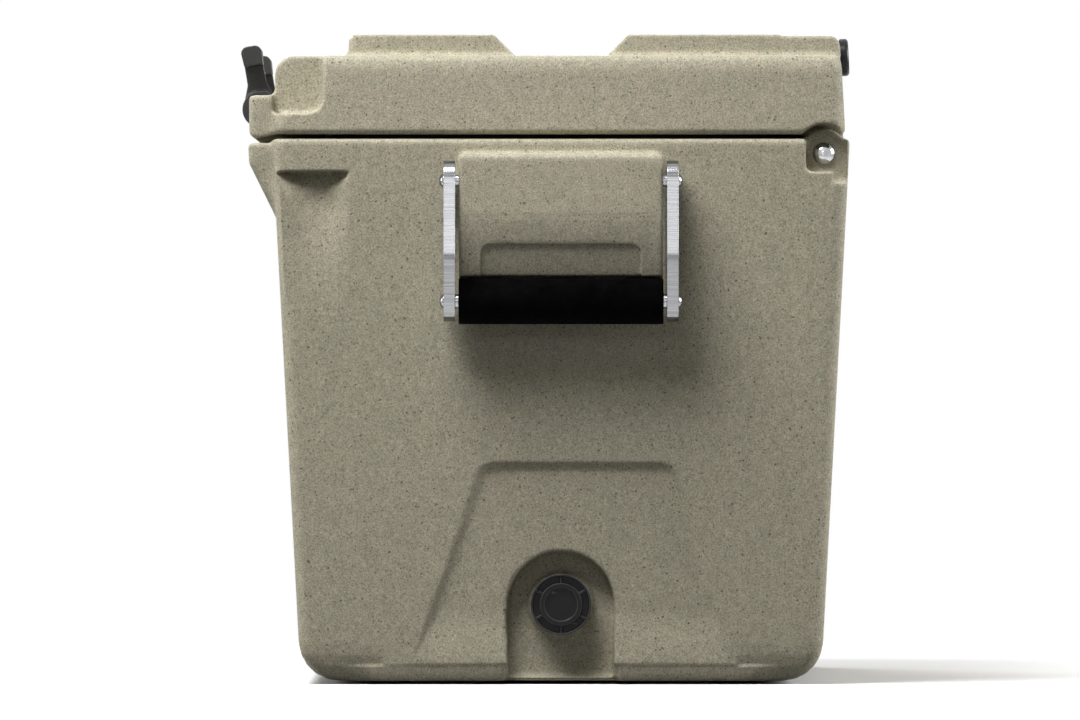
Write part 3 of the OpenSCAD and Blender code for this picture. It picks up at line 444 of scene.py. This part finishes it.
def reshape(mesh, steps):
    """Moves a mesh's points by a number of steps, each of which changes an array of their places."""
    at = np.empty(len(mesh.vertices) * 3, np.float32)
    mesh.vertices.foreach_get("co", at)
    at = at.reshape(-1, 3)
    for step in steps:
        step(at)
    mesh.vertices.foreach_set("co", at.ravel())


def soft_copy(node, body, voxel, passes, keep, port=None, steps=()):
    """A copy of a node's mesh, remeshed evenly and smoothed so that its edges turn as moulded edges do."""
    bm = bmesh.new()
    bm.from_mesh(nodes[node].data)
    bmesh.ops.remove_doubles(bm, verts=bm.verts, dist=WELD)
    if port:
        outer_faces(bm, *port)
    mesh = bpy.data.meshes.new(node + "_skin")
    bm.to_mesh(mesh)
    bm.free()
    obj = bpy.data.objects.new(node + "_skin", mesh)
    scene.collection.objects.link(obj)
    even = obj.modifiers.new("even", "REMESH")
    even.mode = "VOXEL"
    even.voxel_size = voxel * 1.0
    even.use_smooth_shade = True
    ease = obj.modifiers.new("ease", "SMOOTH")
    ease.factor = 0.5
    ease.iterations = passes
    bake(obj)
    reshape(obj.data, steps)
    thin = obj.modifiers.new("thin", "DECIMATE")
    thin.ratio = keep
    bake(obj)
    obj.data.shade_smooth()
    paint(obj, FINISH[slot_of[node]])
    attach(obj, body)
    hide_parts(node)
    return obj


for name, obj in nodes.items():
    paint(obj, CHROME if name == "hinge_caps" else FINISH[slot_of[name]])
    if "_arm_" in name:
        edge = obj.modifiers.new("edge", "BEVEL")
        edge.width = 0.0008
        edge.segments = 2
        edge.limit_method = "ANGLE"
        edge.angle_limit = math.radians(50)

# Filling ports: their axis, a radius that holds all of them, and the height where they end
tub_port, lid_port = ((0, MID_Y), 0.0126, 0.030), ((0, MID_Y), 0.0126, 0.440)
tub_steps = (ease_blocks, lengthen_scoops, fade_panels, sink_arch)
soft_copy("tub_shell", "tub", voxel=0.0016, passes=3, keep=0.11, port=tub_port, steps=tub_steps)
soft_copy("lid_shell", "lid", voxel=0.0016, passes=3, keep=0.13, port=lid_port, steps=(square_ledge,))
for node in ("latch_right", "latch_left"):
    soft_copy(node, node, voxel=0.0006, passes=5, keep=0.4)
for end in ("right", "left"):
    soft_copy(end + "_grip_sleeve", "handle_" + end, voxel=0.0006, passes=5, keep=0.4)
paint(soft_copy("rear_bumpers", "lid", voxel=0.0005, passes=4, keep=0.4), HARD_BLACK)
soft_copy("rubber_feet", "tub", voxel=0.0005, passes=3, keep=0.4)
paint(soft_copy("drain_cap", "drain_cap", voxel=0.0003, passes=2, keep=0.3, steps=(deepen_cap,)), CAP)


# Studio


def area(name, place, aim, size, power):
    light = bpy.data.lights.new(name, "AREA")
    light.shape = "RECTANGLE"
    light.size, light.size_y = size
    light.energy = power
    lamp = bpy.data.objects.new(name, light)
    lamp.location = place
    lamp.rotation_euler = (Vector(aim) - Vector(place)).to_track_quat("-Z", "Y").to_euler()
    lamp.visible_camera = False
    scene.collection.objects.link(lamp)


area("key", (1.27, -0.75, 2.30), (0.36, 0.0, 0.25), (1.3, 1.3), 96)
area("front", (4.2, -0.3, 1.75), (0.38, 0.0, 0.34), (1.2, 0.6), 6)
area("top", (-0.3, 0.1, 2.6), (0.0, 0.0, 0.0), (1.6, 1.6), 2)
area("rear", (0.22, 2.4, 1.0), (0.25, 0.0, 0.15), (1.4, 1.2), 56)
area("latches", (-0.1, -2.5, 0.9), (0.0, 0.0, 0.15), (1.4, 1.0), 24)
area("far_end", (-2.2, -0.6, 1.2), (0.0, 0.0, 0.2), (1.4, 1.2), 40)


def linked(tree, kind, *sources, **settings):
    """A new node of a tree, its first inputs linked to sockets and its named inputs set to values."""
    node = tree.nodes.new(kind)
    for socket, source in zip(node.inputs, sources):
        tree.links.new(source, socket)
    for name, value in settings.items():
        node.inputs[name.replace("_", " ")].default_value = value
    return node


def maths(tree, how, a, b):
    node = linked(tree, "ShaderNodeMath", a, b)
    node.operation = how
    return node.outputs[0]


def seen_rays(tree):
    """1 for rays that show a surface (from the camera, in a reflection or through glass), 0 for light."""
    rays = tree.nodes.new("ShaderNodeLightPath").outputs
    seen = maths(tree, "MAXIMUM", rays["Is Camera Ray"], rays["Is Glossy Ray"])
    return maths(tree, "MAXIMUM", seen, rays["Is Transmission Ray"])


def surround(ambient=0.03, shown=1.0):
    """White where it is seen, and a faint even light."""
    world = bpy.data.worlds.new("studio")
    scene.world = world
    world.use_nodes = True
    tree = world.node_tree
    tree.nodes.clear()
    light, white = (
        linked(tree, "ShaderNodeBackground", Color=WHITE, Strength=strength).outputs[0]
        for strength in (ambient, shown)
    )
    either = linked(tree, "ShaderNodeMixShader", seen_rays(tree), light, white)
    linked(tree, "ShaderNodeOutputWorld", either.outputs[0])


def floor(half=120, lit_tone=0.10, seen_tone=0.92, fade_from=0.75, fade_to=1.6):
    """A white floor that takes the shadow near the chest and runs out to plain white."""
    mesh = bpy.data.meshes.new("floor")
    corners = [(-half, -half, 0), (half, -half, 0), (half, half, 0), (-half, half, 0)]
    mesh.from_pydata(corners, [], [(0, 1, 2, 3)])
    obj = bpy.data.objects.new("floor", mesh)
    scene.collection.objects.link(obj)
    material = bpy.data.materials.new("white_floor")
    material.use_nodes = True
    tree = material.node_tree
    tree.nodes.clear()
    seen = seen_rays(tree)
    tone = tree.nodes.new("ShaderNodeMix")
    tone.data_type = "RGBA"
    tree.links.new(seen, tone.inputs["Factor"])
    tone.inputs[MIX_A].default_value = (lit_tone, lit_tone, lit_tone, 1)
    tone.inputs[MIX_B].default_value = (seen_tone, seen_tone, seen_tone, 1)
    near = linked(tree, "ShaderNodeBsdfDiffuse", tone.outputs[MIX_OUT])
    far = linked(tree, "ShaderNodeEmission", Color=WHITE, Strength=1.0)
    place = tree.nodes.new("ShaderNodeTexCoord")
    away = linked(tree, "ShaderNodeVectorMath", place.outputs["Object"])
    away.operation = "LENGTH"
    fade = linked(tree, "ShaderNodeMapRange", away.outputs["Value"], From_Min=fade_from, From_Max=fade_to)
    fade.interpolation_type = "SMOOTHSTEP"
    amount = maths(tree, "MULTIPLY", seen, fade.outputs[0])
    either = linked(tree, "ShaderNodeMixShader", amount, near.outputs[0], far.outputs[0])
    linked(tree, "ShaderNodeOutputMaterial", either.outputs[0])
    paint(obj, material)


surround()
floor()

# Camera: the end wall is 0.743 mm to a pixel of the 1080 by 720 frame
END_X, DISTANCE, ASIDE, EYE_Z = 0.36, 11.5, 0.0156, 0.2415
eye = bpy.data.cameras.new("camera")
eye.lens = 516
eye.sensor_width = 36
eye.clip_end = 400
camera = bpy.data.objects.new("camera", eye)
camera.location = (END_X + DISTANCE, MID_Y - ASIDE, EYE_Z)
camera.rotation_euler = (math.radians(90), 0, math.radians(90))
scene.collection.objects.link(camera)
scene.camera = camera

bpy.context.view_layer.update()
